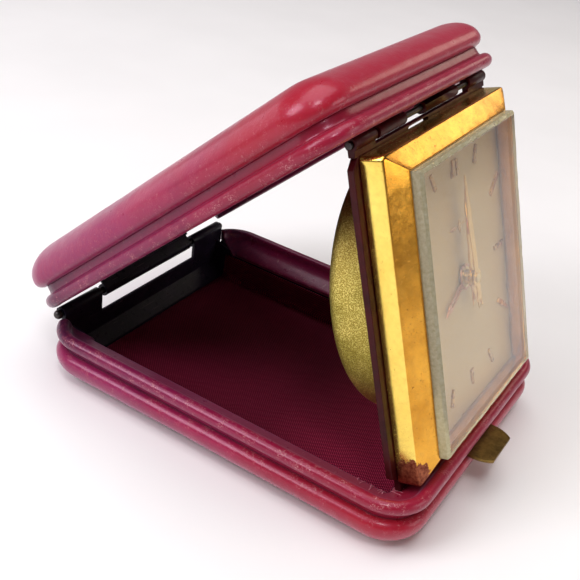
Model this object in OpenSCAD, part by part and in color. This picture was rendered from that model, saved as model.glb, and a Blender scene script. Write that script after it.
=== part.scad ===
/* [Case] */
// Width of each leather-covered half of the case, left to right
case_w = 70; // [66:0.5:80]
// Front to back length of each half of the case
case_d = 90; // [86:0.5:100]
// Height of one half, from its outer skin to the top of its rim bead
half_h = 12.6; // [12:0.1:15]
// Radius of the upright corners of both halves
corner_r = 9; // [9:0.1:12]
// Diameter of the leather-covered rim bead
bead_d = 2.9; // [2.4:0.1:3.2]
// Angle at which the lid stands open from shut, degrees
lid_open = 43.6; // [35:0.1:60]
// Lean of the clock plate from upright, degrees
clock_lean = 18.6; // [15:0.1:24]

/* [Clock front] */
// Outer width of the gilt bezel
bezel_w = 53.4; // [50:0.1:55]
// Outer height of the gilt bezel
bezel_h = 62.3; // [60:0.1:66]
// Height of the bezel's side walls
bezel_side = 4.4; // [3.5:0.1:5]
// Width of the thick crystal
crystal_w = 43; // [40:0.1:44]
// Height of the thick crystal
crystal_h = 54.7; // [50:0.1:56]
// Length of the minute hand from its hub
minute_len = 20.9; // [18:0.1:20.9]
// Length of the hour hand from its hub
hour_len = 18; // [14:0.1:19]
// Length of the alarm hand from its hub
alarm_len = 10.9; // [8:0.1:14]

/* [Movement] */
// Outer radius of the drum on the back of the clock plate
drum_r = 27; // [26.5:0.1:27.4]
// Depth of the drum behind the clock plate
drum_t = 9.2; // [9.2:0.1:9.8]
// Radius of the two movement plates
movement_r = 24.4; // [24:0.1:24.8]
// Radius of the balance rim
balance_r = 4.6; // [4:0.1:4.8]

/* [Hidden] */
bead_r = bead_d / 2;
ring_w = corner_r - 0.2;
gap = 0.05;
run_gap = 0.06;
bead_z = half_h - bead_r;
pillow_h = half_h - bead_d - 1.9;
pillow_r1 = 6;
pillow_r2 = pillow_h - pillow_r1;
half_w = case_w / 2;
half_d = case_d / 2;
axis_y = half_d - 0.7;
axis_z = half_h + 0.55;
rim_rise = 1.6;
knuckle_r = 1.4;
wire_r = 0.75;
wire_bore_r = wire_r + run_gap;
wall_x = 28.9;
tab_x = 15.6;
floor_t = 1;
lining_z = 1.65;
base_band_w = 8.1;
lid_band_w = 6.4;
front_axis_u = 3.9;
front_axis_h = 0.8;
front_knuckle_r = 1.2;
front_wire_r = 0.6;
hub_drop = 31;
plate_t0 = -1.4;
plate_t1 = -0.1;
plate_w = 57.2;
plate_top = 0.6;
plate_bottom = 64.6;
foot_s = 60.3;
foot_w = 51.8;
drum_back = plate_t0 - drum_t;
glass_t0 = 5.95;
glass_t1 = 8.5;
dial_t0 = 2.2;
dial_t1 = 2.6;
front_plate_t0 = -2.3;
front_plate_t1 = -1.6;
back_plate_t0 = -8.6;
back_plate_t1 = -7.9;
minute_angle = 5.6;
hour_angle = 0.5;
alarm_angle = 245.6;

leather_col = [0.33, 0.05, 0.07];
leather_dark = [0.26, 0.04, 0.055];
satin_col = [0.36, 0.07, 0.10];
steel_dark = [0.07, 0.07, 0.10];
steel_bright = [0.70, 0.71, 0.73];
gilt = [0.86, 0.62, 0.24];
brass = [0.80, 0.62, 0.30];
dial_col = [0.90, 0.84, 0.68];
plate_col = [0.20, 0.05, 0.06];
glass_col = [0.85, 0.92, 0.88];
copper_col = [0.72, 0.42, 0.26];

time_barrel = [-8.6, -6.03];
alarm_barrel = [9.5, -12];
third_at = [-1.56, 8.864];
fourth_at = [5.63, 11.48];
escape_at = [11.42, 9.373];
pallet_at = [14.18, 7.06];
balance_at = [17.3, 2.6];
alarm_escape_at = [1.07, -15.93];
hammer_at = [-3.6, -18.8];
alarm_set_at = [9.085, -0.795];
minute_wheel_at = [0, 6];
pillars_at = [[-15.5, 16], [17.5, 13.5], [-20.5, -9], [1.5, -22.4]];

/* Placing */

module in_lid() {
    translate([0, axis_y, axis_z]) rotate([-lid_open, 0, 0])
        translate([0, -axis_y, rim_rise + half_h]) mirror([0, 0, 1]) children();
}

front_axis_y = -half_d + front_axis_u;
front_axis_dy = front_axis_y - axis_y;
hinge_y = axis_y + front_axis_dy * cos(lid_open) + front_axis_h * sin(lid_open);
hinge_z = axis_z - front_axis_dy * sin(lid_open) + front_axis_h * cos(lid_open);
hinge_s = -2.2;
hinge_t = -0.7;
top_y = hinge_y + hinge_s * sin(clock_lean) + hinge_t * cos(clock_lean);
top_z = hinge_z + hinge_s * cos(clock_lean) - hinge_t * sin(clock_lean);

module on_clock() {
    translate([0, top_y, top_z]) rotate([90 - clock_lean, 0, 0])
        translate([0, -hub_drop, 0]) children();
}

/* Shared shapes */

module swept_edge() {
    straight_x = case_w - 2 * corner_r;
    straight_y = case_d - 2 * corner_r;
    for (side = [0, 1]) rotate([0, 0, 180 * side]) {
        translate([-half_w, straight_y / 2, 0]) rotate([90, 0, 0])
            linear_extrude(straight_y) children();
        translate([-straight_x / 2, -half_d, 0]) rotate([90, 0, 90])
            linear_extrude(straight_x) children();
    }
    for (k = [0 : 3]) {
        sx = (k == 0 || k == 3) ? 1 : -1;
        sy = (k < 2) ? 1 : -1;
        translate([sx * (half_w - corner_r), sy * (half_d - corner_r), 0])
            rotate([0, 0, 90 * k])
            rotate_extrude(angle = 90, $fn = 64)
            translate([corner_r, 0]) mirror([1, 0]) children();
    }
}

module bead_section() {
    translate([bead_r, bead_z]) circle(r = bead_r, $fn = 48);
}

module pillow_section(inner_w) {
    arc_steps = 8;
    wall_w = inner_w - 0.7;
    polygon(concat(
        [[ring_w, 0]],
        [for (i = [0 : arc_steps]) pillow_r1 * [1 - sin(90 * i / arc_steps), 1 - cos(90 * i / arc_steps)]],
        [for (i = [1 : arc_steps]) [pillow_r2 * (1 - cos(90 * i / arc_steps)),
            pillow_r1 + pillow_r2 * sin(90 * i / arc_steps)]],
        [[pillow_r2 + 0.1, pillow_h], [pillow_r2 + 0.1, half_h - bead_d - gap],
            [bead_d, half_h - bead_d - gap], [wall_w, pillow_h + 0.15],
            [wall_w, floor_t], [ring_w, floor_t]]));
}

module half_shell(inner_w) {
    cut_x = half_w - inner_w + 0.7;
    top_x = max(cut_x, wall_x + 0.2);
    difference() {
        union() {
            swept_edge() pillow_section(inner_w);
            translate([-half_w + corner_r - 0.8, -half_d + corner_r - 0.8, 0])
                cube([case_w - 2 * corner_r + 1.6, case_d - 2 * corner_r + 1.6, floor_t]);
        }
        translate([-cut_x, half_d - 1.2, floor_t])
            mirror([0, 1, 0]) cube([2 * cut_x, 12, half_h]);
        translate([-top_x, half_d - 3.2, pillow_h])
            cube([2 * top_x, 5, half_h]);
    }
}

module half_bead() {
    difference() {
        swept_edge() bead_section();
        translate([-wall_x - 0.2, half_d - 4, bead_z - 3]) cube([2 * wall_x + 0.4, 5, 6]);
    }
}

module pan_section(inner_w) {
    top_z0 = half_h - 2.1;
    low_z0 = pillow_h + 0.7;
    polygon([[bead_d + 0.06, top_z0], [inner_w, low_z0], [inner_w, floor_t + gap],
        [inner_w - 0.6, floor_t + gap], [inner_w - 0.6, low_z0 - 0.45],
        [bead_d + 0.06, top_z0 - 0.6]]);
}

module pan(inner_w) {
    cut_x = half_w - inner_w + 0.6;
    corner_y = half_d - corner_r;
    wall_y = axis_y - knuckle_r;
    difference() {
        swept_edge() pan_section(inner_w);
        translate([-cut_x, corner_y, 0]) cube([2 * cut_x, corner_r + 1, half_h + 2]);
    }
    for (m = [0, 1]) mirror([m, 0, 0]) translate([cut_x - 0.6, 0, 0])
        rotate([90, 0, 90]) linear_extrude(0.6)
        polygon([[corner_y - 0.3, floor_t + gap], [wall_y - 2.7, floor_t + gap],
            [wall_y + 0.3, 4.2], [wall_y + 0.3, half_h - 2.2], [corner_y - 0.3, pillow_h + 0.7]]);
}

module rear_wall(top_z, inner_w) {
    in_y = axis_y - knuckle_r;
    low_x = half_w - inner_w + 0.3;
    translate([-low_x, 0, 0]) rotate([90, 0, 90]) linear_extrude(2 * low_x)
        polygon([[in_y, top_z], [in_y, 4.7], [in_y - 3, lining_z], [in_y - 3.6, lining_z],
            [in_y - 3.6, floor_t + gap], [in_y - 2.7, floor_t + gap], [in_y + 0.7, 4.4],
            [in_y + 0.7, top_z]]);
    translate([-wall_x, in_y, pillow_h + 0.1]) cube([2 * wall_x, 0.7, top_z - pillow_h - 0.1]);
}

module lining_section(inner_w, rise) {
    polygon([[inner_w + 0.06, floor_t + gap], [ring_w, floor_t + gap],
        [ring_w, lining_z], [inner_w + 0.56, lining_z], [inner_w + 0.56, rise],
        [inner_w + 0.06, rise]]);
}

module half_lining(inner_w) {
    rise = pillow_h - 0.1;
    side_x = half_w - inner_w - 0.06;
    corner_y = half_d - corner_r;
    end_y = axis_y - knuckle_r - 3.65;
    difference() {
        swept_edge() lining_section(inner_w, rise);
        translate([-half_w, corner_y, 0]) cube([case_w, corner_r + 1, half_h]);
    }
    translate([-side_x + 0.1, -half_d + inner_w + 0.16, floor_t + gap])
        cube([2 * side_x - 0.2, end_y + half_d - inner_w - 0.16, lining_z - floor_t - gap]);
    for (m = [0, 1]) mirror([m, 0, 0]) translate([side_x - 0.5, corner_y - 0.3, floor_t + gap])
        cube([0.5, end_y - corner_y + 0.3, rise - floor_t - gap]);
}

/* Base half */

module base_shell() {
    color(leather_col) difference() {
        half_shell(base_band_w);
        translate([-6.7, -half_d + 0.9, pillow_h - 0.6]) cube([13.4, 7, 3]);
        translate([-7.5, clasp_y, clasp_z]) rotate([0, 90, 0]) cylinder(r = 0.36, h = 15, $fn = 32);
    }
}

module base_bead() {
    color(leather_dark) half_bead();
}

module base_frame() {
    color(steel_dark) {
        difference() {
            union() {
                pan(base_band_w);
                rear_wall(axis_z, base_band_w);
                translate([-wall_x, axis_y, axis_z]) rotate([0, 90, 0])
                    cylinder(r = knuckle_r, h = 2 * wall_x, $fn = 48);
            }
            translate([-wall_x - 1, axis_y, axis_z]) rotate([0, 90, 0])
                cylinder(r = wire_bore_r, h = 2 * wall_x + 2, $fn = 48);
            translate([-tab_x - 1.6, axis_y - 4, axis_z - 4.3])
                cube([2 * tab_x + 3.2, 8, 8]);
            translate([-6.6, -half_d + 2.9, pillow_h - 1])
                cube([13.2, 2.6, 4]);
        }
    }
}

module base_lining() {
    color(satin_col) half_lining(base_band_w);
}

module rear_hinge_wire() {
    color(steel_dark) {
        translate([-wall_x - 0.6, axis_y, axis_z]) rotate([0, 90, 0])
            cylinder(r = wire_r, h = 2 * wall_x + 1.2, $fn = 32);
        translate([-wall_x - 0.75, axis_y, axis_z]) sphere(r = 1.05, $fn = 32);
        translate([wall_x + 0.55, axis_y, axis_z]) sphere(r = 0.95, $fn = 32);
    }
}

clasp_y = -half_d + 2.6;
clasp_z = pillow_h + 0.75;

module clasp_pin() {
    color(steel_bright) translate([-7, clasp_y, clasp_z]) rotate([0, 90, 0])
        cylinder(r = 0.35, h = 14, $fn = 24);
}

module clasp_lever() {
    color(brass) difference() {
        union() {
            translate([0, -half_d - 0.2, clasp_z - 0.35]) intersection() {
                cylinder(r = 6.2, h = 0.7, $fn = 64);
                translate([-6.2, -4.2, 0]) cube([12.4, 7.4, 0.7]);
            }
            translate([-6.2, clasp_y, clasp_z]) rotate([0, 90, 0])
                cylinder(r = 0.65, h = 12.4, $fn = 32);
            translate([-5, clasp_y + 0.2, clasp_z - 0.3]) cube([10, 2.6, 0.6]);
            translate([-4, clasp_y + 2.1, clasp_z - 0.3]) cube([8, 0.7, 2.1]);
        }
        translate([-8, clasp_y, clasp_z]) rotate([0, 90, 0])
            cylinder(r = 0.35 + run_gap, h = 16, $fn = 32);
    }
}

module clasp_spring() {
    color(steel_bright) translate([-1.2, clasp_y + 1, pillow_h - 0.55])
        cube([2.4, 3.7, 0.25]);
}

/* Lid half */

module lid_shell() {
    color(leather_col) in_lid() half_shell(lid_band_w);
}

module lid_bead() {
    color(leather_dark) in_lid() half_bead();
}

module lid_frame() {
    color(steel_dark) in_lid() {
        pan(lid_band_w);
        rear_wall(half_h - 1.2, lid_band_w);
    }
}

module lid_lining() {
    color(satin_col) in_lid() half_lining(lid_band_w);
}

lid_axis_z = half_h + rim_rise;

module rear_hinge_tab() {
    strap_y = axis_y - knuckle_r;
    color(steel_dark) in_lid() difference() {
        union() {
            translate([-tab_x, axis_y, lid_axis_z]) rotate([0, 90, 0])
                cylinder(r = knuckle_r, h = 2 * tab_x, $fn = 48);
            translate([-tab_x, strap_y, half_h - 1.1])
                cube([2 * tab_x, 0.6, rim_rise + 1.1]);
            translate([-tab_x, strap_y - 0.65, half_h - 4.5])
                cube([2 * tab_x, 0.6, 4.1]);
            translate([-tab_x, strap_y - 0.65, half_h - 1.1])
                cube([2 * tab_x, 0.9, 0.7]);
        }
        translate([-tab_x - 1, axis_y, lid_axis_z]) rotate([0, 90, 0])
            cylinder(r = wire_bore_r, h = 2 * tab_x + 2, $fn = 48);
    }
}

front_lid_z = half_h + rim_rise - front_axis_h;

module front_hinge_tab(x0, x1) {
    difference() {
        union() {
            translate([x0, front_axis_y, front_lid_z]) rotate([0, 90, 0])
                cylinder(r = front_knuckle_r, h = x1 - x0, $fn = 48);
            translate([x0, front_axis_y - front_knuckle_r + 0.35, half_h - 1.85])
                cube([x1 - x0, 0.6, 2.6]);
            translate([x0, front_axis_y - front_knuckle_r + 0.35, half_h - 1.9])
                rotate([-21.5, 0, 0]) cube([x1 - x0, 2.6, 0.5]);
        }
        translate([x0 - 1, front_axis_y, front_lid_z]) rotate([0, 90, 0])
            cylinder(r = front_wire_r + run_gap, h = x1 - x0 + 2, $fn = 48);
    }
}

module front_hinge_tabs() {
    color(steel_dark) in_lid() {
        front_hinge_tab(-19.2, -9.1);
        front_hinge_tab(-1.4, 13.4);
    }
}

/* Clock front */

module front_hinge_wire() {
    color(steel_dark) on_clock() {
        translate([-28.2, hub_drop - hinge_s, hinge_t]) rotate([0, 90, 0])
            cylinder(r = front_wire_r, h = 56.4, $fn = 32);
    }
}

module plate_knuckle(x0, x1) {
    translate([x0, hub_drop - hinge_s, hinge_t]) rotate([0, 90, 0])
        cylinder(r = front_knuckle_r, h = x1 - x0, $fn = 48);
    translate([x0, hub_drop, plate_t0]) cube([x1 - x0, -hinge_s, plate_t1 - plate_t0]);
}

module mounting_plate() {
    thick = plate_t1 - plate_t0;
    color(plate_col) on_clock() difference() {
        union() {
            translate([0, 0, plate_t0]) linear_extrude(thick) difference() {
                polygon([[-plate_w / 2, hub_drop + plate_top], [-plate_w / 2, hub_drop - foot_s],
                    [-foot_w / 2, hub_drop - foot_s - 1.7], [-foot_w / 2, hub_drop - plate_bottom],
                    [foot_w / 2, hub_drop - plate_bottom], [foot_w / 2, hub_drop - foot_s - 1.7],
                    [plate_w / 2, hub_drop - foot_s], [plate_w / 2, hub_drop + plate_top]]);
                for (m = [0, 1]) mirror([m, 0])
                    translate([plate_w / 2, hub_drop + plate_top]) rotate(45)
                    square(3.4, center = true);
            }
            plate_knuckle(-27.6, -20.2);
            plate_knuckle(19.4, 27.6);
        }
        translate([-30, hub_drop - hinge_s, hinge_t]) rotate([0, 90, 0])
            cylinder(r = front_wire_r + 0.01, h = 60, $fn = 48);
        translate([0, 0, -4]) cylinder(r = 24.9, h = 8, $fn = 128);
        for (x = [-7.2, -0.2]) translate([x, hub_drop - 0.6, -4])
            cylinder(r = 0.85, h = 8, $fn = 32);
        translate([-7.2, hub_drop - 1.45, -4]) cube([7, 1.7, 8]);
    }
}

side_border = (bezel_w - crystal_w) / 2 - gap;
end_border = (bezel_h - crystal_h) / 2 - gap;

module bezel_section(edge_w) {
    shoulder = 0.07 * edge_w;
    polygon([[0, 0], [0, bezel_side - 0.35], [shoulder, bezel_side], [edge_w, glass_t0 + 0.55],
        [edge_w, glass_t0 - gap], [edge_w + 0.35, glass_t0 - gap], [edge_w + 0.35, dial_t1 + 0.15],
        [edge_w, dial_t1 + 0.15], [edge_w, glass_t0 - 0.65],
        [0.8 * edge_w, glass_t0 - 0.65], [0.6, bezel_side - 0.5], [0.6, 0]]);
}

module bezel() {
    cy = hub_drop - bezel_h / 2;
    hx = bezel_w / 2;
    hy = bezel_h / 2;
    color(gilt) on_clock() translate([0, cy, 0]) {
        intersection() {
            union() {
                for (m = [0, 1]) rotate([0, 0, 180 * m]) translate([-hx, hy, 0])
                    rotate([90, 0, 0]) linear_extrude(2 * hy) bezel_section(side_border);
            }
            for (m = [0, 1]) rotate([0, 0, 180 * m]) mitre_side(hx, hy);
        }
        intersection() {
            union() {
                for (m = [0, 1]) rotate([0, 0, 180 * m]) translate([-hx, -hy, 0])
                    rotate([90, 0, 90]) linear_extrude(2 * hx) bezel_section(end_border);
            }
            for (m = [0, 1]) rotate([0, 0, 180 * m]) mitre_end(hx, hy);
        }
    }
}

module mitre_side(hx, hy) {
    x1 = -hx + side_border;
    y1 = hy - end_border;
    translate([0, 0, -1]) linear_extrude(12)
        polygon([[-hx, -hy], [x1, -y1], [x1 + 2, -y1 + 2], [x1 + 2, y1 - 2], [x1, y1], [-hx, hy]]);
}

module mitre_end(hx, hy) {
    x1 = hx - side_border;
    y1 = -hy + end_border;
    translate([0, 0, -1]) linear_extrude(12)
        polygon([[-hx, -hy], [hx, -hy], [x1, y1], [x1 - 2, y1 + 2], [-x1 + 2, y1 + 2], [-x1, y1]]);
}

module crystal() {
    cy = hub_drop - bezel_h / 2;
    color(glass_col) on_clock() translate([0, cy, glass_t0]) {
        linear_extrude(glass_t1 - glass_t0 - 0.35)
            square([crystal_w, crystal_h], center = true);
        translate([0, 0, glass_t1 - glass_t0 - 0.35]) linear_extrude(0.35)
            square([crystal_w - 0.7, crystal_h - 0.7], center = true);
    }
}

module dial() {
    color(dial_col) on_clock() translate([0, 0, dial_t0]) linear_extrude(dial_t1 - dial_t0)
        difference() {
            translate([0, hub_drop - bezel_h / 2]) square([50.6, 59.4], center = true);
            circle(r = 2.3, $fn = 48);
        }
}

marker_x = [15.6, 20.3];
marker_y = [19.9, 23.2];

module marker_bar(dx, dy, shift) {
    k0 = min(marker_x[0] / max(abs(dx), 0.001), marker_y[0] / max(abs(dy), 0.001));
    k1 = min(marker_x[1] / max(abs(dx), 0.001), marker_y[1] / max(abs(dy), 0.001));
    a = atan2(dy, dx);
    len0 = sqrt(dx * dx + dy * dy);
    rotate([0, 0, a]) translate([k0 * len0, shift - 0.5, dial_t1])
        cube([(k1 - k0) * len0, 1, 0.4]);
}

module hour_markers() {
    stretch = crystal_h / crystal_w;
    color(gilt) on_clock() {
        for (h = [1 : 11]) marker_bar(sin(30 * h), stretch * cos(30 * h), 0);
        marker_bar(0, 1, 0.8);
        marker_bar(0, 1, -0.8);
    }
}

/* Drum and movement frame */

module drum_case() {
    wall = 0.6;
    edge_r = 2.6;
    color(gilt) on_clock() difference() {
        translate([0, 0, drum_back]) rotate_extrude($fn = 128) {
            difference() {
                union() {
                    square([drum_r - edge_r, wall]);
                    translate([drum_r - wall, edge_r]) square([wall, drum_t - edge_r - gap]);
                    translate([drum_r - edge_r, edge_r]) intersection() {
                        difference() {
                            circle(r = edge_r, $fn = 64);
                            circle(r = edge_r - wall, $fn = 64);
                        }
                        translate([0, -edge_r]) square([edge_r, edge_r]);
                    }
                    translate([drum_r - 1.6, drum_t - 0.65]) square([1.6, 0.6]);
                }
                translate([-50, 0]) square([50, 20]);
            }
        }
        for (p = [[0, 0], time_barrel, alarm_barrel, alarm_set_at])
            translate([p[0], p[1], drum_back - 1]) cylinder(r = 1.25, h = 3, $fn = 32);
        translate([balance_at[0] - 3.4, balance_at[1] + 6.2, drum_back - 1])
            cube([6.8, 1.8, 3]);
    }
}

module drum_screws() {
    color(brass) on_clock() for (p = [[-15.5, 16], [-20.5, -9], [1.5, -22.4]])
        translate([p[0], p[1], drum_back - 0.55]) {
            difference() {
                cylinder(r = 1.4, h = 0.5, $fn = 32);
                translate([-2, -0.2, -0.1]) cube([4, 0.4, 0.35]);
            }
        }
}

module arbor_holes(t, h, list, r) {
    for (p = list) translate([p[0], p[1], t]) cylinder(r = r, h = h, $fn = 24);
}

pivot_r = 0.35;

module movement_front_plate() {
    color(brass) on_clock() difference() {
        translate([0, 0, front_plate_t0])
            cylinder(r = movement_r, h = front_plate_t1 - front_plate_t0, $fn = 96);
        arbor_holes(front_plate_t0 - 1, 4, [time_barrel, alarm_barrel, third_at, fourth_at,
            escape_at, pallet_at, balance_at, alarm_escape_at, hammer_at], pivot_r + run_gap);
        arbor_holes(front_plate_t0 - 1, 4, [alarm_set_at], 0.7 + run_gap);
        translate([0, 0, front_plate_t0 - 1]) cylinder(r = 1.05, h = 4, $fn = 32);
        arbor_holes(front_plate_t0 - 1, 4, [minute_wheel_at], 0.5);
    }
}

module movement_back_plate() {
    color(brass) on_clock() difference() {
        translate([0, 0, back_plate_t0])
            cylinder(r = movement_r, h = back_plate_t1 - back_plate_t0, $fn = 96);
        arbor_holes(back_plate_t0 - 1, 4, [third_at, fourth_at, escape_at, pallet_at,
            alarm_escape_at, hammer_at], pivot_r + run_gap);
        arbor_holes(back_plate_t0 - 1, 4, [time_barrel, alarm_barrel], 0.9 + run_gap);
        arbor_holes(back_plate_t0 - 1, 4, [alarm_set_at, [0, 0]], 0.7 + run_gap);
        translate([balance_at[0], balance_at[1], back_plate_t0 - 1])
            cylinder(r = 5.6, h = 4, $fn = 64);
    }
}

module pillars() {
    color(brass) on_clock() for (p = pillars_at)
        translate([p[0], p[1], back_plate_t1 + gap])
            cylinder(r = 1.1, h = front_plate_t0 - back_plate_t1 - 2 * gap, $fn = 32);
}

module movement_screws() {
    color(steel_bright) on_clock() for (p = pillars_at)
        translate([p[0], p[1], front_plate_t1 + gap]) cylinder(r = 1, h = 0.45, $fn = 32);
}

module balance_cock() {
    color(brass) on_clock() {
        difference() {
            union() {
                translate([balance_at[0], balance_at[1], back_plate_t0 - 0.75])
                    cylinder(r = 2, h = 0.7, $fn = 48);
                translate([balance_at[0] - 1.3, balance_at[1] - 8.2, back_plate_t0 - 0.75])
                    cube([2.6, 8.2, 0.7]);
            }
            translate([balance_at[0], balance_at[1], back_plate_t0 - 2])
                cylinder(r = pivot_r + run_gap, h = 4, $fn = 24);
        }
    }
}

module hairspring() {
    turns = 5;
    steps = 90;
    r0 = 0.75;
    pitch = 0.5;
    a = [for (i = [0 : steps]) 360 * turns * i / steps];
    outer = [for (v = a) (r0 + pitch * v / 360 + 0.07) * [cos(v), sin(v)]];
    inner = [for (i = [steps : -1 : 0]) (r0 + pitch * a[i] / 360 - 0.07) * [cos(a[i]), sin(a[i])]];
    color(steel_bright) on_clock() translate([balance_at[0], balance_at[1], -7.5])
        linear_extrude(0.4) polygon(concat(outer, inner));
}

module regulator_lever() {
    color(steel_bright) on_clock() translate([balance_at[0], balance_at[1], 0]) {
        difference() {
            union() {
                translate([0, 0, back_plate_t0 - 1.1]) cylinder(r = 1.4, h = 0.3, $fn = 32);
                translate([-0.4, 1, back_plate_t0 - 1.1]) cube([0.8, 6.4, 0.3]);
                translate([-0.4, 6.8, drum_back - 0.5])
                    cube([0.8, 0.6, back_plate_t0 - 0.8 - drum_back + 0.5]);
            }
            translate([0, 0, back_plate_t0 - 2]) cylinder(r = 0.5, h = 4, $fn = 24);
        }
    }
}

module minute_wheel_stud() {
    color(steel_bright) on_clock() translate([minute_wheel_at[0], minute_wheel_at[1], front_plate_t0])
        cylinder(r = 0.45, h = 3.0, $fn = 32);
}

module alarm_click_spring() {
    color(steel_bright) on_clock() difference() {
        translate([-2.6, -13, 1.75]) cube([5.2, 15.4, 0.2]);
        translate([0, 0, 1]) cylinder(r = 2.15, h = 2, $fn = 48);
    }
}

/* Wheels */

module gear_2d(teeth, m, phase) {
    rp = teeth * m / 2;
    ra = rp + 0.85 * m;
    rf = rp - 1.15 * m;
    pitch_a = 360 / teeth;
    polygon([for (i = [0 : teeth - 1]) for (k = [[-0.29, rf], [-0.12, ra], [0.12, ra], [0.29, rf]])
        k[1] * [cos(phase + pitch_a * (i + k[0])), sin(phase + pitch_a * (i + k[0]))]]);
}

module wheel(teeth, m, phase, thick, bore_r, rim, spokes) {
    rf = teeth * m / 2 - 1.15 * m;
    difference() {
        linear_extrude(thick) gear_2d(teeth, m, phase);
        translate([0, 0, -1]) cylinder(r = bore_r, h = thick + 2, $fn = 32);
        if (spokes > 0) for (k = [0 : spokes - 1]) rotate([0, 0, 360 * k / spokes + 30])
            translate([0, 0, -1]) linear_extrude(thick + 2) intersection() {
                difference() {
                    circle(r = rf - rim, $fn = 64);
                    circle(r = bore_r + 1.1, $fn = 32);
                }
                polygon([[0.7, 0.7], [40 * cos(8), 40 * sin(8)],
                    [40 * cos(360 / spokes - 8), 40 * sin(360 / spokes - 8)]]);
            }
    }
}

module arbor(p, t0, t1, r) {
    translate([p[0], p[1], t0]) cylinder(r = r, h = t1 - t0, $fn = 32);
}

function bearing(a, b) = atan2(b[1] - a[1], b[0] - a[0]);

module centre_arbor() {
    color(steel_bright) on_clock() {
        arbor([0, 0], drum_back - 0.6, -2.9, 0.7);
        arbor([0, 0], -2.9, -1.3, 0.8);
        arbor([0, 0], -1.3, 5.8, 0.95);
        translate([0, 0, -1.2]) linear_extrude(0.7) gear_2d(12, 0.25, 0);
    }
}

module baton(len0, w0, w1, tail, thick, hub_r, bore_r) {
    difference() {
        union() {
            linear_extrude(thick) polygon([[-w0 / 2, 0], [-w0 / 2 * 1.25, len0 * 0.5], [-w1 / 2, len0],
                [w1 / 2, len0], [w0 / 2 * 1.25, len0 * 0.5], [w0 / 2, 0], [w0 * 0.55, -tail],
                [0, -tail * 0.72], [-w0 * 0.55, -tail]]);
            cylinder(r = hub_r, h = thick, $fn = 48);
        }
        translate([0, 0, -1]) cylinder(r = bore_r, h = thick + 2, $fn = 48);
    }
}

module minute_hand() {
    color(gilt) on_clock() rotate([0, 0, minute_angle]) translate([0, 0, 5.35])
        baton(minute_len, 1.5, 0.5, 6.3, 0.25, 1.7, 0.96);
}

module hand_set_knob() {
    color(gilt) on_clock() difference() {
        union() {
            translate([0, 0, drum_back - 1.35]) linear_extrude(1.15) gear_2d(30, 0.2, 0);
            translate([0, 0, drum_back - 0.75]) cylinder(r = 1.1, h = 0.7, $fn = 32);
        }
        translate([0, 0, drum_back - 0.7]) cylinder(r = 0.71, h = 2, $fn = 32);
    }
}

module hour_wheel() {
    color(brass) on_clock() difference() {
        union() {
            translate([0, 0, -0.35]) wheel(40, 0.24, 0, 0.5, 1, 0.6, 0);
            arbor([0, 0], -0.35, 4.95, 1.45);
        }
        arbor([0, 0], -1, 6, 0.95 + run_gap);
    }
}

module hour_hand() {
    color(gilt) on_clock() rotate([0, 0, hour_angle]) translate([0, 0, 4.5])
        baton(hour_len, 2, 0.7, 5.6, 0.25, 2, 1.46);
}

module minute_wheel() {
    color(brass) on_clock() translate([minute_wheel_at[0], minute_wheel_at[1], 0]) difference() {
        union() {
            translate([0, 0, -1.1]) linear_extrude(0.5)
                gear_2d(36, 0.25, bearing(minute_wheel_at, [0, 0]) + 5);
            translate([0, 0, -0.6]) linear_extrude(1)
                gear_2d(10, 0.24, bearing(minute_wheel_at, [0, 0]) + 18);
        }
        translate([0, 0, -2]) cylinder(r = 0.45 + run_gap, h = 5, $fn = 32);
    }
}

module alarm_wheel() {
    color(brass) on_clock() difference() {
        union() {
            translate([0, 0, 1]) wheel(40, 0.24, 0, 0.5, 1.6, 0.6, 0);
            arbor([0, 0], 1, 3.3, 2.05);
        }
        arbor([0, 0], 0, 4, 1.45 + run_gap);
    }
}

module alarm_hand() {
    color(copper_col) on_clock() rotate([0, 0, -alarm_angle]) translate([0, 0, 3.0])
        difference() {
            union() {
                linear_extrude(0.25) polygon([[-0.6, 0], [-0.75, alarm_len * 0.8], [0, alarm_len],
                    [0.75, alarm_len * 0.8], [0.6, 0]]);
                cylinder(r = 2.6, h = 0.25, $fn = 48);
            }
            translate([0, 0, -1]) cylinder(r = 2.06, h = 3, $fn = 48);
            translate([0, 0, -1]) linear_extrude(3)
                polygon([[-0.22, 3.4], [-0.3, alarm_len * 0.74], [0.3, alarm_len * 0.74], [0.22, 3.4]]);
        }
}

module alarm_set_arbor() {
    color(steel_bright) on_clock() {
        arbor(alarm_set_at, drum_back - 0.6, 1.6, 0.7);
        translate([alarm_set_at[0], alarm_set_at[1], 1]) linear_extrude(0.5)
            gear_2d(36, 0.24, bearing(alarm_set_at, [0, 0]) + 0.5 * 360 / 36
                + bearing([0, 0], alarm_set_at) * 40 / 36);
    }
}

module alarm_set_knob() {
    color(gilt) on_clock() translate([alarm_set_at[0], alarm_set_at[1], 0]) difference() {
        union() {
            translate([0, 0, drum_back - 1.35]) linear_extrude(1.15) gear_2d(26, 0.2, 0);
            translate([0, 0, drum_back - 0.75]) cylinder(r = 1.1, h = 0.7, $fn = 32);
        }
        translate([0, 0, drum_back - 0.7]) cylinder(r = 0.71, h = 2, $fn = 32);
    }
}

/* Going train */

module centre_wheel() {
    color(brass) on_clock() {
        translate([0, 0, -3.3]) wheel(80, 0.2, 0, 0.4, 0.9, 0.7, 4);
        difference() {
            union() {
                translate([0, 0, -7.3]) linear_extrude(1) gear_2d(10, 0.3,
                    bearing([0, 0], time_barrel));
                arbor([0, 0], -6.4, -2.95, 1.1);
            }
            arbor([0, 0], -8, -2, 0.8 + run_gap);
        }
    }
}

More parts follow.
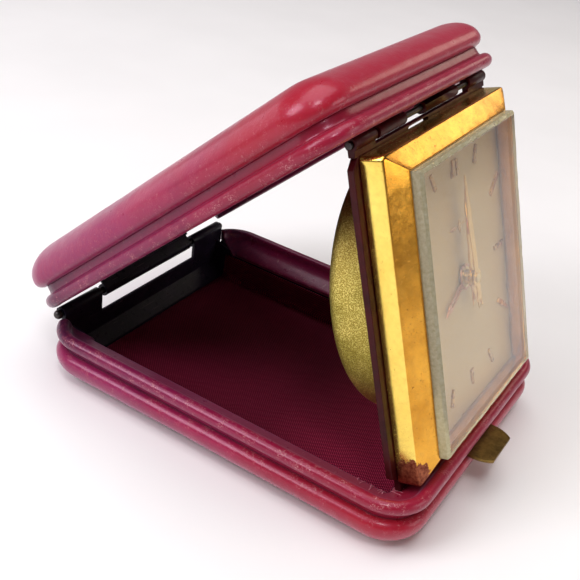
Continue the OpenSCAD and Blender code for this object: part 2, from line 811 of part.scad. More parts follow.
module key_shape(reach) {
    difference() {
        union() {
            translate([0, 0, drum_back - 0.75]) cylinder(r = 1.15, h = 0.7, $fn = 32);
            for (m = [0, 1]) rotate([0, 0, 180 * m])
                translate([reach - 2, 0, drum_back - 1.35]) cylinder(r = 2, h = 0.7, $fn = 48);
            translate([-reach + 1, -0.9, drum_back - 1.35]) cube([2 * reach - 2, 1.8, 0.7]);
        }
        for (m = [0, 1]) rotate([0, 0, 180 * m])
            translate([reach - 2, 0, drum_back - 2]) cylinder(r = 1, h = 2, $fn = 32);
        translate([0, 0, drum_back - 0.85]) cylinder(r = 0.91, h = 2, $fn = 32);
    }
}

module barrel(p, teeth, m, body_r, phase) {
    translate([p[0], p[1], 0]) {
        difference() {
            union() {
                translate([0, 0, -7.1]) linear_extrude(0.6) gear_2d(teeth, m, phase);
                translate([0, 0, -6.6]) cylinder(r = body_r, h = 3, $fn = 96);
            }
            translate([0, 0, -6.2]) difference() {
                cylinder(r = body_r - 0.5, h = 2.3, $fn = 96);
                translate([0, 0, -1]) cylinder(r = 1.6, h = 5, $fn = 32);
            }
        }
        translate([0, 0, drum_back - 0.8]) cylinder(r = 0.9, h = -7 - drum_back + 0.8, $fn = 32);
        translate([0, 0, -7.1]) cylinder(r = pivot_r, h = 5.4, $fn = 24);
    }
}

module time_mainspring_barrel() {
    color(brass) on_clock() barrel(time_barrel, 60, 0.3, 8.4,
        bearing(time_barrel, [0, 0]) + 3);
}

module time_key() {
    color(gilt) on_clock() translate([time_barrel[0], time_barrel[1], 0]) rotate([0, 0, 60])
        key_shape(5.6);
}

module train_wheel(p, wheel_teeth, wheel_m, wheel_t, wheel_phase, pin_teeth, pin_m, pin_t, pin_h,
    pin_phase, arbor_r) {
    translate([p[0], p[1], 0]) {
        translate([0, 0, wheel_t]) wheel(wheel_teeth, wheel_m, wheel_phase, 0.4, arbor_r - 0.1, 0.6, 4);
        translate([0, 0, pin_t]) linear_extrude(pin_h) gear_2d(pin_teeth, pin_m, pin_phase);
        translate([0, 0, back_plate_t1 + 0.1])
            cylinder(r = arbor_r, h = front_plate_t0 - back_plate_t1 - 0.2, $fn = 32);
        translate([0, 0, back_plate_t0 + 0.05])
            cylinder(r = pivot_r, h = front_plate_t1 - back_plate_t0 - 0.1, $fn = 24);
    }
}

third_pin_phase = bearing(third_at, [0, 0]) + 18 + bearing([0, 0], third_at) * 8;
fourth_pin_phase = bearing(fourth_at, third_at) + 18 + bearing(third_at, fourth_at) * 7.5;
escape_pin_phase = bearing(escape_at, fourth_at) + 180 / 7 + bearing(fourth_at, escape_at) * 10;

module third_wheel() {
    color(brass) on_clock() train_wheel(third_at, 75, 0.18, -5.8, 0, 10, 0.2, -3.5, 0.8,
        third_pin_phase, 0.5);
}

module fourth_wheel() {
    color(brass) on_clock() train_wheel(fourth_at, 70, 0.16, -4.6, 0, 10, 0.18, -6, 0.8,
        fourth_pin_phase, 0.45);
}

module escape_wheel() {
    color(brass) on_clock() translate([escape_at[0], escape_at[1], 0]) {
        translate([0, 0, -6.9]) linear_extrude(0.4) difference() {
            polygon([for (i = [0 : 14]) for (k = [[0, 1.5], [0.45, 2.3], [0.6, 2.3], [0.62, 1.5]])
                k[1] * [cos(24 * (i + k[0]) + 7), sin(24 * (i + k[0]) + 7)]]);
            circle(r = 0.3, $fn = 24);
        }
        translate([0, 0, -4.9]) linear_extrude(0.9) gear_2d(7, 0.16, escape_pin_phase);
        translate([0, 0, back_plate_t1 + 0.1])
            cylinder(r = 0.38, h = front_plate_t0 - back_plate_t1 - 0.2, $fn = 32);
        translate([0, 0, back_plate_t0 + 0.05])
            cylinder(r = 0.34, h = front_plate_t1 - back_plate_t0 - 0.1, $fn = 24);
    }
}

module pallet_lever() {
    to_bal = bearing(pallet_at, balance_at);
    to_esc = bearing(pallet_at, escape_at);
    color(steel_bright) on_clock() translate([pallet_at[0], pallet_at[1], 0]) {
        translate([0, 0, -6.9]) linear_extrude(0.4) {
            circle(r = 0.6, $fn = 32);
            rotate(to_bal) translate([0, -0.25]) square([3.2, 0.5]);
            rotate(to_esc) translate([-0.3, -1.5]) square([0.6, 3]);
            rotate(to_esc) translate([-0.3, 1.1]) square([1, 0.4]);
            rotate(to_esc) translate([-0.3, -1.5]) square([1, 0.4]);
        }
        translate([0, 0, back_plate_t0 + 0.05])
            cylinder(r = 0.34, h = front_plate_t1 - back_plate_t0 - 0.1, $fn = 24);
    }
}

module balance_wheel() {
    color(gilt) on_clock() translate([balance_at[0], balance_at[1], 0]) {
        translate([0, 0, -5.6]) linear_extrude(0.8) difference() {
            circle(r = balance_r, $fn = 96);
            circle(r = balance_r - 0.7, $fn = 96);
        }
        translate([-balance_r + 0.3, -0.45, -5.4]) cube([2 * balance_r - 0.6, 0.9, 0.4]);
        translate([0, 0, -9.3]) cylinder(r = 0.34, h = 7.5, $fn = 24);
        translate([0, 0, -6.3]) cylinder(r = 0.55, h = 3.6, $fn = 32);
    }
}

/* Alarm train */

module alarm_mainspring_barrel() {
    color(brass) on_clock() barrel(alarm_barrel, 54, 0.3, 7.3,
        bearing(alarm_barrel, alarm_escape_at) + 360 / 54 / 2);
}

module alarm_key() {
    color(gilt) on_clock() translate([alarm_barrel[0], alarm_barrel[1], 0]) rotate([0, 0, -15])
        key_shape(5.6);
}

module alarm_escape_wheel() {
    color(brass) on_clock() translate([alarm_escape_at[0], alarm_escape_at[1], 0]) {
        translate([0, 0, -3.4]) linear_extrude(0.4) polygon([for (i = [0 : 19])
            (i % 2 == 0 ? 3.4 : 2.5) * [cos(18 * i + 4), sin(18 * i + 4)]]);
        translate([0, 0, -7.2]) linear_extrude(0.9)
            gear_2d(8, 0.3, bearing(alarm_escape_at, alarm_barrel));
        translate([0, 0, back_plate_t1 + 0.1])
            cylinder(r = 0.5, h = front_plate_t0 - back_plate_t1 - 0.2, $fn = 32);
        translate([0, 0, back_plate_t0 + 0.05])
            cylinder(r = pivot_r, h = front_plate_t1 - back_plate_t0 - 0.1, $fn = 24);
    }
}

module alarm_hammer() {
    to_star = bearing(hammer_at, alarm_escape_at);
    color(steel_bright) on_clock() translate([hammer_at[0], hammer_at[1], 0]) {
        translate([0, 0, -3.4]) linear_extrude(0.4) {
            circle(r = 0.9, $fn = 32);
            rotate(to_star) translate([-0.2, -1.4]) square([0.6, 2.8]);
            rotate(to_star) translate([0.2, 1]) square([1.5, 0.4]);
            rotate(to_star) translate([0.2, -1.4]) square([1.5, 0.4]);
            rotate(176) translate([0, -0.4]) square([10.5, 0.8]);
        }
        rotate([0, 0, 176]) translate([10.3, 0, -3.9]) cylinder(r = 1.3, h = 1.3, $fn = 32);
        translate([0, 0, back_plate_t0 + 0.05])
            cylinder(r = pivot_r, h = front_plate_t1 - back_plate_t0 - 0.1, $fn = 24);
    }
}

base_shell();
base_bead();
base_frame();
base_lining();
rear_hinge_wire();
clasp_pin();
clasp_lever();
clasp_spring();
lid_shell();
lid_bead();
lid_frame();
lid_lining();
rear_hinge_tab();
front_hinge_tabs();
front_hinge_wire();
mounting_plate();
bezel();
crystal();
dial();
hour_markers();
drum_case();
drum_screws();
movement_front_plate();
movement_back_plate();
pillars();
movement_screws();
balance_cock();
hairspring();
regulator_lever();
minute_wheel_stud();
alarm_click_spring();
centre_arbor();
minute_hand();
hand_set_knob();
hour_wheel();
hour_hand();
minute_wheel();
alarm_wheel();
alarm_hand();
alarm_set_arbor();
alarm_set_knob();
centre_wheel();
time_mainspring_barrel();
time_key();
third_wheel();
fourth_wheel();
escape_wheel();
pallet_lever();
balance_wheel();
alarm_mainspring_barrel();
alarm_key();
alarm_escape_wheel();
alarm_hammer();
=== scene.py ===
import math
import random

import bmesh
import bpy
from mathutils import Matrix, Vector, noise


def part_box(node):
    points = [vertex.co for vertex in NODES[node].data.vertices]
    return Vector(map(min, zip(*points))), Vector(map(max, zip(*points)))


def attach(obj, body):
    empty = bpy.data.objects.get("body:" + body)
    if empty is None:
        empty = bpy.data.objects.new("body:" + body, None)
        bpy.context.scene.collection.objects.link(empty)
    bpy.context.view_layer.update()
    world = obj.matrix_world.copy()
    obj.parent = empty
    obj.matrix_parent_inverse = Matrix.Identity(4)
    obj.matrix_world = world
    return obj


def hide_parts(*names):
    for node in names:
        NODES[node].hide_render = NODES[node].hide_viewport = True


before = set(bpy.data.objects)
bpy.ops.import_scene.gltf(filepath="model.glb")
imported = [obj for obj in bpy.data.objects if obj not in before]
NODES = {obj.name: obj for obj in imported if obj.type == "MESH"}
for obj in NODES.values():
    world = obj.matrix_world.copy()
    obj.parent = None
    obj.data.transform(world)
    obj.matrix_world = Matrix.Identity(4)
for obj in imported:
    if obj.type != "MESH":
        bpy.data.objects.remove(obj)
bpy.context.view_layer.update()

MM = 0.001


# ---------------------------------------------------------------- frame places

base_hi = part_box("base_shell")[1]
HX = base_hi.x / MM                 # half width and half depth of the case
HY = base_hi.y / MM
CORNER = 9.0                        # corner radius of both halves
LID_OPEN = math.radians(43.6)
AXIS_Y = HY - 0.7                   # rear hinge axis
AXIS_Z = 13.15
MOUTH_Z = 14.2                      # the lid's mouth, above its own outer face
WALL_HALF = 29.2                    # the leather stops at the rear wall, this far each side of the middle
WALL_STRIP = 1.2                    # depth behind which a point counts as the rear edge
BEAD_R, BEAD_Z = 1.45, 11.15        # the rim roll's section
SHEET_Z = 0.95                      # inner face of a half's outer panel
LEAN = math.radians(18.6)
BEZEL_TOP = 31                      # from the hub up to the bezel's upper edge
BEZEL_HEIGHT = 62.3
SIDE_BORDER, END_BORDER = 5.15, 3.75
CRYSTAL_SIZE = (43.0, 54.7)
HUB_Y = -18.3577 + BEZEL_TOP * -math.sin(LEAN)
HUB_Z = 70.7610 - BEZEL_TOP * math.cos(LEAN)


def base_point(x, y, z):
    """A point of the base, which lies in the frame's own axes."""
    return (x, y, z)


def lid_point(x, y, z):
    """The same point on the lid, turned over on the rear hinge to its place in the photograph."""
    far = y - AXIS_Y
    up = MOUTH_Z - z
    c, s = math.cos(LID_OPEN), math.sin(LID_OPEN)
    return (x, AXIS_Y + far * c + up * s, AXIS_Z - far * s + up * c)


def clock_point(x, y, t):
    """x to the right, y up from the hub, t out of the dial."""
    c, s = math.cos(LEAN), math.sin(LEAN)
    return (x, HUB_Y + y * s - t * c, HUB_Z + y * c + t * s)


# ---------------------------------------------------------------- camera, floor and lights

CAMERA_TURN = (27.939, -30.887, 8.635)      # yaw, pitch and roll, degrees
CAMERA_AT = (-155.534, -77.932, 128.881)
FOCAL_PX, FRAME_PX, SENSOR = 936.9, 580, 36
FLOOR_HALF, FLOOR_DROP = 1.6, 0.00015
HORIZON, SKY = (0.5, (0.55, 0.52, 0.50, 1)), (0.72, (0.16, 0.13, 0.15, 1))
SKY_STRENGTH = 0.6

# name, place, target, size in metres, watts, colour
LIGHTS = [
    ("overhead_softbox", (0.0, 0.15, 0.95), (0, 0, 0), (0.9, 0.9), 6.6, (1, 0.99, 0.98)),
    ("window_softbox", (-0.42, 0.28, 0.42), (0, 0, 0.03), (0.30, 0.30), 2.2, (0.97, 0.95, 1.0)),
    ("rear_softbox", (-0.08, 0.85, 0.16), (0, 0, 0.05), (0.80, 0.24), 0.60, (1, 0.88, 1.0)),
    ("corner_glint", (-0.30, -0.18, 0.59), (-0.032, -0.012, 0.079), (0.13, 0.13), 0.9, (1, 0.97, 1.0)),
    ("side_strip", (0.41, -0.13, 0.25), (0, -0.02, 0.06), (0.16, 0.10), 0.12, (1, 0.88, 0.70)),
    ("front_softbox", (0.16, -0.62, 0.26), (0, -0.03, 0.04), (0.35, 0.30), 0.9, (1, 0.95, 0.88)),
]


def make_camera():
    yaw, pitch, roll = (math.radians(a) for a in CAMERA_TURN)
    fwd = Vector((math.cos(pitch) * math.cos(yaw), math.cos(pitch) * math.sin(yaw), math.sin(pitch)))
    side = Vector((math.sin(yaw), -math.cos(yaw), 0))
    up = side.cross(fwd)
    right = math.cos(roll) * side + math.sin(roll) * up
    above = -math.sin(roll) * side + math.cos(roll) * up
    data = bpy.data.cameras.new("view_camera")
    data.sensor_width = SENSOR
    data.lens = FOCAL_PX / FRAME_PX * SENSOR
    data.clip_start = 0.01
    cam = bpy.data.objects.new("view_camera", data)
    rot = Matrix((right, above, -fwd)).transposed().to_4x4()
    cam.matrix_world = Matrix.Translation(Vector(CAMERA_AT) * MM) @ rot
    bpy.context.scene.collection.objects.link(cam)
    bpy.context.scene.camera = cam


def area_light(name, at, to, size, power, color):
    data = bpy.data.lights.new(name, "AREA")
    data.shape = "RECTANGLE"
    data.size, data.size_y = size
    data.energy = power
    data.color = color
    lamp = bpy.data.objects.new(name, data)
    at, to = Vector(at), Vector(to)
    lamp.matrix_world = Matrix.Translation(at) @ (to - at).to_track_quat("-Z", "Y").to_matrix().to_4x4()
    bpy.context.scene.collection.objects.link(lamp)


def make_stage():
    bm = bmesh.new()
    bmesh.ops.create_grid(bm, x_segments=2, y_segments=2, size=FLOOR_HALF)
    mesh = bpy.data.meshes.new("floor")
    bm.to_mesh(mesh)
    bm.free()
    floor = bpy.data.objects.new("floor", mesh)
    floor.location.z = -FLOOR_DROP
    bpy.context.scene.collection.objects.link(floor)
    mat = Mat("floor_paper")
    tone = mat.ramp(mat.noise(0.02, detail=2), [(0.3, (0.88, 0.875, 0.87)), (0.7, (0.91, 0.905, 0.90))])
    mat.set(color=tone, roughness=0.8)
    floor.data.materials.append(mat.m)
    world = bpy.data.worlds.new("studio")
    bpy.context.scene.world = world
    world.use_nodes = True
    nt = world.node_tree
    nt.nodes.clear()
    out = nt.nodes.new("ShaderNodeOutputWorld")
    bg = nt.nodes.new("ShaderNodeBackground")
    geo = nt.nodes.new("ShaderNodeTexCoord")
    sep = nt.nodes.new("ShaderNodeSeparateXYZ")
    ramp = nt.nodes.new("ShaderNodeValToRGB")
    nt.links.new(geo.outputs["Generated"], sep.inputs[0])
    add = nt.nodes.new("ShaderNodeMath")
    add.operation = "MULTIPLY_ADD"
    add.inputs[1].default_value = 0.5
    add.inputs[2].default_value = 0.5
    nt.links.new(sep.outputs["Z"], add.inputs[0])
    nt.links.new(add.outputs[0], ramp.inputs[0])
    for stop, (position, color) in zip(ramp.color_ramp.elements, (HORIZON, SKY)):
        stop.position = position
        stop.color = color
    nt.links.new(ramp.outputs[0], bg.inputs[0])
    bg.inputs[1].default_value = SKY_STRENGTH
    nt.links.new(bg.outputs[0], out.inputs[0])
    for light in LIGHTS:
        area_light(*light)
    bpy.context.scene.view_settings.view_transform = "Standard"
    bpy.context.scene.view_settings.look = "None"


# ---------------------------------------------------------------- material helper

class Mat:
    """A procedural material; lengths in its patterns are in millimetres."""

    def __init__(self, name, attribute=None):
        self.m = bpy.data.materials.new(name)
        self.m.use_nodes = True
        self.nt = self.m.node_tree
        self.nt.nodes.clear()
        self.out = self.nt.nodes.new("ShaderNodeOutputMaterial")
        self.p = self.nt.nodes.new("ShaderNodeBsdfPrincipled")
        self.nt.links.new(self.p.outputs[0], self.out.inputs[0])
        if attribute:
            self.co = self.attr(attribute, vector=True)
        else:
            tc = self.nt.nodes.new("ShaderNodeTexCoord")
            scale = self.nt.nodes.new("ShaderNodeVectorMath")
            scale.operation = "SCALE"
            scale.inputs["Scale"].default_value = 1000
            self.link(tc.outputs["Object"], scale.inputs[0])
            self.co = scale.outputs[0]

    def link(self, a, b):
        self.nt.links.new(a, b)

    def put(self, value, socket):
        if isinstance(value, bpy.types.NodeSocket):
            self.link(value, socket)
        elif isinstance(value, (tuple, list)):
            alpha = (1,) if len(value) == 3 and len(socket.default_value) == 4 else ()
            socket.default_value = tuple(value) + alpha
        else:
            socket.default_value = value

    def attr(self, name, vector=False):
        n = self.nt.nodes.new("ShaderNodeAttribute")
        n.attribute_name = name
        return n.outputs["Vector" if vector else "Fac"]

    def stretch(self, scale, turn=(0, 0, 0)):
        n = self.nt.nodes.new("ShaderNodeMapping")
        self.link(self.co, n.inputs["Vector"])
        n.inputs["Scale"].default_value = scale
        n.inputs["Rotation"].default_value = turn
        return n.outputs[0]

    def noise(self, scale, detail=3, rough=0.55, co=None):
        n = self.nt.nodes.new("ShaderNodeTexNoise")
        self.link(co or self.co, n.inputs["Vector"])
        n.inputs["Scale"].default_value = scale
        n.inputs["Detail"].default_value = detail
        n.inputs["Roughness"].default_value = rough
        n.inputs["Distortion"].default_value = 0
        return n.outputs["Fac"]

    def cells(self, scale):
        n = self.nt.nodes.new("ShaderNodeTexVoronoi")
        n.feature = "F1"
        self.link(self.co, n.inputs["Vector"])
        n.inputs["Scale"].default_value = scale
        return n.outputs["Distance"]

    def ramp(self, fac, stops):
        n = self.nt.nodes.new("ShaderNodeValToRGB")
        self.link(fac, n.inputs[0])
        e = n.color_ramp.elements
        while len(e) < len(stops):
            e.new(0.5)
        for k, (pos, col) in enumerate(stops):
            e[k].position = pos
            if not isinstance(col, tuple):
                col = (col, col, col)
            e[k].color = col + (1,)
        return n.outputs[0]

    def mix(self, fac, a, b, mode="MIX"):
        n = self.nt.nodes.new("ShaderNodeMix")
        n.data_type = "RGBA"
        n.blend_type = mode
        self.put(fac, n.inputs[0])
        self.put(a, n.inputs[6])
        self.put(b, n.inputs[7])
        return n.outputs[2]

    def math(self, op, a, b=0.0, c=None, clamp=False):
        n = self.nt.nodes.new("ShaderNodeMath")
        n.operation = op
        n.use_clamp = clamp
        self.put(a, n.inputs[0])
        self.put(b, n.inputs[1])
        if c is not None:
            self.put(c, n.inputs[2])
        return n.outputs[0]

    def split(self):
        n = self.nt.nodes.new("ShaderNodeSeparateXYZ")
        self.link(self.co, n.inputs[0])
        return n.outputs

    def near(self, centre, radius, soft):
        """1 within radius of a point, falling to 0 over soft."""
        n = self.nt.nodes.new("ShaderNodeVectorMath")
        n.operation = "DISTANCE"
        self.link(self.co, n.inputs[0])
        n.inputs[1].default_value = centre
        far = self.math("SUBTRACT", radius + soft, n.outputs["Value"])
        return self.math("DIVIDE", far, soft, clamp=True)

    def bump(self, height, depth, strength):
        n = self.nt.nodes.new("ShaderNodeBump")
        n.inputs["Distance"].default_value = depth * MM
        n.inputs["Strength"].default_value = strength
        self.link(height, n.inputs["Height"])
        return n.outputs[0]

    def set(self, color=None, roughness=None, metallic=None, normal=None, **more):
        p = self.p.inputs
        usual = {"Base Color": color, "Roughness": roughness, "Metallic": metallic, "Normal": normal}
        for name, value in usual.items():
            if value is not None:
                self.put(value, p[name])
        for name, value in more.items():
            self.put(value, p[name.replace("_", " ").title().replace("Ior", "IOR")])


# ---------------------------------------------------------------- materials

def leather(name, deep, fresh, rear_sheen_purple, front_light_red, wear_amount, rear_painted_shade=0.0):
    """Glossy dyed leather: fine grain, clouding, rubbed edges, scuffs; painted sheen and light make it purple
    towards the rear and redder at the front, and painted shade can darken its rear end.
    """
    m = Mat(name)
    cloud = m.noise(0.07, detail=4, rough=0.6)
    tone = m.ramp(cloud, [(0.32, deep), (0.66, fresh)])
    # painted sheen and light: the tone turns purple towards the rear and red towards the front, by place with
    # a little noise
    ahead = m.math("MULTIPLY", m.math("SUBTRACT", m.noise(0.05, detail=2), 0.5), 0.6)
    ahead = m.math("ADD", m.attr("front"), ahead)
    tone = m.mix(m.ramp(ahead, [(0.30, 0.75), (0.62, 0.0)]), tone, rear_sheen_purple)
    tone = m.mix(m.ramp(ahead, [(0.55, 0.0), (0.85, 0.85)]), tone, front_light_red)
    # painted shade: the rear end turns near-black where 'front' is below about 0.2
    if rear_painted_shade:
        tone = m.mix(m.ramp(m.attr("front"), [(0.05, rear_painted_shade), (0.20, 0.0)]), tone, (0.016, 0.004, 0.022))
    mottle = m.noise(1.1, detail=5, rough=0.65)
    tone = m.mix(m.ramp(mottle, [(0.35, 0.0), (0.75, 0.35)]), tone, fresh)
    edge = m.attr("edge")
    rub = m.math("MULTIPLY", edge, m.ramp(m.noise(0.55, detail=5, rough=0.7), [(0.50, 0.0), (0.62, 1.0)]))
    speck = m.ramp(m.noise(3.2, detail=3, rough=0.8), [(0.52, 0.0), (0.60, 1.0)])
    worn = m.math("MULTIPLY", m.math("MULTIPLY", rub, speck), wear_amount, clamp=True)
    tone = m.mix(worn, tone, (0.50, 0.20, 0.20))
    scratch = m.noise(0.9, detail=2, rough=0.4, co=m.stretch((0.08, 1.6, 1.6), (0.3, 0.2, 0.5)))
    scratch = m.ramp(scratch, [(0.70, 0.0), (0.73, 1.0)])
    tone = m.mix(m.math("MULTIPLY", scratch, 0.18), tone, (0.55, 0.28, 0.26))
    relief = m.noise(0.22, detail=2)
    relief = m.math("MULTIPLY_ADD", m.cells(2.4), 0.16, relief)
    relief = m.math("MULTIPLY_ADD", mottle, 0.10, relief)
    relief = m.math("MULTIPLY_ADD", worn, -0.12, relief)
    n = m.bump(relief, 0.20, 0.55)
    rough = m.ramp(m.noise(0.4, detail=4), [(0.3, 0.27), (0.75, 0.42)])
    rough = m.mix(worn, rough, (0.6, 0.6, 0.6))
    m.set(color=tone, roughness=rough, normal=n, coat_weight=0.26, coat_roughness=0.12,
          specular_ior_level=0.45, specular_tint=(1.0, 0.55, 0.80), sheen_weight=0.16, sheen_roughness=0.45,
          sheen_tint=(1.0, 0.50, 0.82))
    return m.m


def satin(name):
    """Woven satin; the pattern follows the cloth, from the attribute 'lay'; painted shade darkens its middle,
    rear and walls.
    """
    m = Mat(name, attribute="lay")
    xyz = m.split()
    pitch = 0.60
    wob = m.math("MULTIPLY", m.math("SUBTRACT", m.noise(0.12, detail=2), 0.5), 0.9)
    u = m.math("ADD", xyz[0], wob)
    v = m.math("ADD", xyz[1], wob)
    a = m.math("SINE", m.math("MULTIPLY", u, 2 * math.pi / pitch))
    b = m.math("SINE", m.math("MULTIPLY", v, 2 * math.pi / pitch))
    weave = m.math("MULTIPLY_ADD", m.math("MULTIPLY", a, b), 0.5, 0.5)
    slub = m.noise(0.9, detail=3, rough=0.6, co=m.stretch((0.12, 2.2, 1)))
    tone = m.ramp(weave, [(0.25, (0.035, 0.001, 0.006)), (0.55, (0.17, 0.004, 0.028)),
                          (0.90, (0.85, 0.07, 0.17))])
    tone = m.mix(m.ramp(slub, [(0.4, 0.0), (0.8, 0.35)]), tone, (0.24, 0.008, 0.040))
    # painted shade: the lining darkens from the front towards the middle and rear, and on its walls, where
    # shadow falls in the tray
    painted_shade_falloff = m.math("MULTIPLY_ADD", xyz[1], -1 / 32.0, -0.12, clamp=True)
    tone = m.mix(m.ramp(painted_shade_falloff, [(0.0, 0.72), (0.9, 0.0)]), tone, (0.035, 0.001, 0.006))
    n = m.bump(m.math("MULTIPLY_ADD", m.noise(0.15, detail=1), 1.5, weave), 0.10, 0.8)
    m.set(color=tone, roughness=m.ramp(weave, [(0.2, 0.70), (0.9, 0.42)]), normal=n,
          specular_ior_level=0.3, specular_tint=(1.0, 0.25, 0.40), sheen_weight=0.25,
          sheen_roughness=0.4, sheen_tint=(1.0, 0.10, 0.25))
    return m.m


def dark_paint(name, low, high, gloss, chips):
    """Dark lacquer on steel, with dust and faint streaks."""
    m = Mat(name)
    tone = m.ramp(m.noise(0.25, detail=5, rough=0.65), [(0.3, low), (0.72, high)])
    dust = m.ramp(m.noise(2.6, detail=5, rough=0.75), [(0.60, 0.0), (0.70, 1.0)])
    tone = m.mix(m.math("MULTIPLY", dust, 0.20 * chips), tone, (0.34, 0.26, 0.25))
    streak = m.noise(1.4, detail=2, co=m.stretch((0.10, 2.0, 2.0)))
    streak = m.ramp(streak, [(0.66, 0.0), (0.71, 1.0)])
    tone = m.mix(m.math("MULTIPLY", streak, 0.25 * chips), tone, (0.22, 0.17, 0.18))
    n = m.bump(m.math("MULTIPLY_ADD", m.noise(4.0, detail=2), 0.15, m.noise(0.5, detail=2)), 0.08, 0.4)
    m.set(color=tone, roughness=m.ramp(m.noise(0.8, detail=4), [(0.3, gloss), (0.75, gloss + 0.2)]), normal=n,
          coat_weight=0.05, coat_roughness=0.2, specular_ior_level=0.14)
    return m.m


def gold(name, bright, deep, rough, spots, patch=None, wavy=0.12):
    """Polished gilt with faint waviness, tarnish specks and, where asked, a worn-through patch."""
    m = Mat(name)
    tone = m.ramp(m.noise(0.12, detail=4, rough=0.6), [(0.30, deep), (0.62, bright)])
    tiny = m.ramp(m.noise(2.2, detail=5, rough=0.8), [(0.615, 0.0), (0.66, 1.0)])
    zone = m.ramp(m.noise(0.10, detail=3), [(0.44, 0.0), (0.60, 1.0)])
    dirt = m.math("MULTIPLY", m.math("MULTIPLY", tiny, zone), 0.75 * spots, clamp=True)
    tone = m.mix(dirt, tone, (0.10, 0.045, 0.015))
    haze = m.ramp(m.noise(0.9, detail=5, rough=0.7), [(0.45, 0.0), (0.8, 0.35)])
    tone = m.mix(haze, tone, (0.55, 0.30, 0.08))
    rough_map = m.ramp(m.noise(0.7, detail=5, rough=0.7), [(0.3, rough), (0.8, rough + 0.16)])
    rough_map = m.mix(dirt, rough_map, (0.6, 0.6, 0.6))
    if patch:
        worn = m.near(*patch)
        ragged = m.math("SUBTRACT", m.noise(0.8, detail=4, rough=0.7), 0.5)
        ragged = m.math("ADD", worn, m.math("MULTIPLY", ragged, 1.5))
        inner = m.ramp(worn, [(0.02, 0.0), (0.2, 1.0)])
        worn = m.math("MULTIPLY", m.ramp(ragged, [(0.50, 0.0), (0.62, 1.0)]), inner)
        bare = m.ramp(m.noise(1.4, detail=4), [(0.35, (0.16, 0.035, 0.02)), (0.7, (0.42, 0.14, 0.07))])
        tone = m.mix(worn, tone, bare)
        rough_map = m.mix(worn, rough_map, (0.5, 0.5, 0.5))
    relief = m.math("MULTIPLY_ADD", m.noise(3.5, detail=3, rough=0.7), 0.06, m.noise(0.16, detail=1))
    relief = m.math("MULTIPLY_ADD", dirt, -0.15, relief)
    n = m.bump(relief, wavy, 0.5)
    m.set(color=tone, roughness=rough_map, metallic=1.0, normal=n)
    return m.m


def grainy_gold(name):
    """Gilt with a fine sandy finish, and painted shade that browns its top."""
    m = Mat(name)
    grit = m.noise(6.5, detail=3, rough=0.75)
    sand = m.math("MULTIPLY_ADD", m.cells(4.6), 0.7, m.math("MULTIPLY", grit, 0.6))
    tone = m.ramp(sand, [(0.25, (0.07, 0.042, 0.006)), (0.45, (0.27, 0.19, 0.03)),
                         (0.64, (0.48, 0.37, 0.07)), (0.86, (0.80, 0.68, 0.21))])
    green = m.ramp(m.noise(0.10, detail=3), [(0.42, 0.0), (0.62, 0.55)])
    tone = m.mix(green, tone, (0.34, 0.36, 0.10), "MULTIPLY")
    # painted shade: the gilt browns towards the top of the drum, from 44 mm up over 26 mm
    shade_from, shade_over = 44, 26.0
    top = m.math("MULTIPLY_ADD", m.split()[2], 1 / shade_over, -shade_from / shade_over, clamp=True)
    tone = m.mix(m.math("MULTIPLY", top, 0.95), tone, (0.16, 0.07, 0.03))
    n = m.bump(sand, 0.10, 0.9)
    m.set(color=tone, roughness=m.ramp(grit, [(0.3, 0.30), (0.75, 0.55)]), metallic=0.95, normal=n)
    return m.m


def brushed_metal(name, low, high, rough, tarnish, brown=(0.12, 0.07, 0.03)):
    """Metal with fine brushing along x, dulled in patches."""
    m = Mat(name)
    tone = m.ramp(m.noise(0.5, detail=5, rough=0.7), [(0.3, low), (0.7, high)])
    dull = m.ramp(m.noise(1.3, detail=5, rough=0.75), [(0.48, 0.0), (0.72, tarnish)])
    tone = m.mix(dull, tone, brown)
    n = m.bump(m.noise(2.5, detail=3, co=m.stretch((0.25, 3.0, 3.0))), 0.02, 0.4)
    rough_map = m.ramp(m.noise(1.1, detail=4), [(0.3, rough), (0.8, rough + 0.2)])
    m.set(color=tone, roughness=rough_map, metallic=1.0, normal=n)
    return m.m


def dial_face(name):
    """Champagne satin: fine vertical grain and a few age spots."""
    m = Mat(name)
    fine = m.noise(2.4, detail=3, rough=0.6, co=m.stretch((5.0, 0.25, 0.25)))
    tone = m.ramp(fine, [(0.25, (0.40, 0.25, 0.085)), (0.75, (0.55, 0.36, 0.14))])
    tone = m.mix(m.ramp(m.noise(0.08, detail=3), [(0.4, 0.0), (0.7, 0.5)]), tone, (0.52, 0.34, 0.13))
    age = m.ramp(m.noise(2.0, detail=5, rough=0.8), [(0.655, 0.0), (0.69, 0.6)])
    tone = m.mix(age, tone, (0.30, 0.18, 0.08))
    m.set(color=tone, roughness=m.ramp(fine, [(0.2, 0.34), (0.8, 0.48)]), metallic=0.35,
          normal=m.bump(fine, 0.012, 0.5))
    return m.m


def clear_glass(name):
    """The crystal's front and back, faintly smeared; light passes straight through to the dial."""
    m = Mat(name)
    smear = m.noise(0.25, detail=4, rough=0.6, co=m.stretch((1.0, 0.4, 0.4)))
    m.set(color=(0.98, 1.0, 0.98), roughness=m.ramp(smear, [(0.62, 0.0), (0.85, 0.012)]),
          transmission_weight=1.0, ior=1.5)
    lamp = m.nt.nodes.new("ShaderNodeLightPath")
    clear = m.nt.nodes.new("ShaderNodeBsdfTransparent")
    clear.inputs[0].default_value = (0.93, 0.96, 0.93, 1)
    both = m.nt.nodes.new("ShaderNodeMixShader")
    m.link(lamp.outputs["Is Shadow Ray"], both.inputs[0])
    m.link(m.p.outputs[0], both.inputs[1])
    m.link(clear.outputs[0], both.inputs[2])
    m.link(both.outputs[0], m.out.inputs[0])
    return m.m


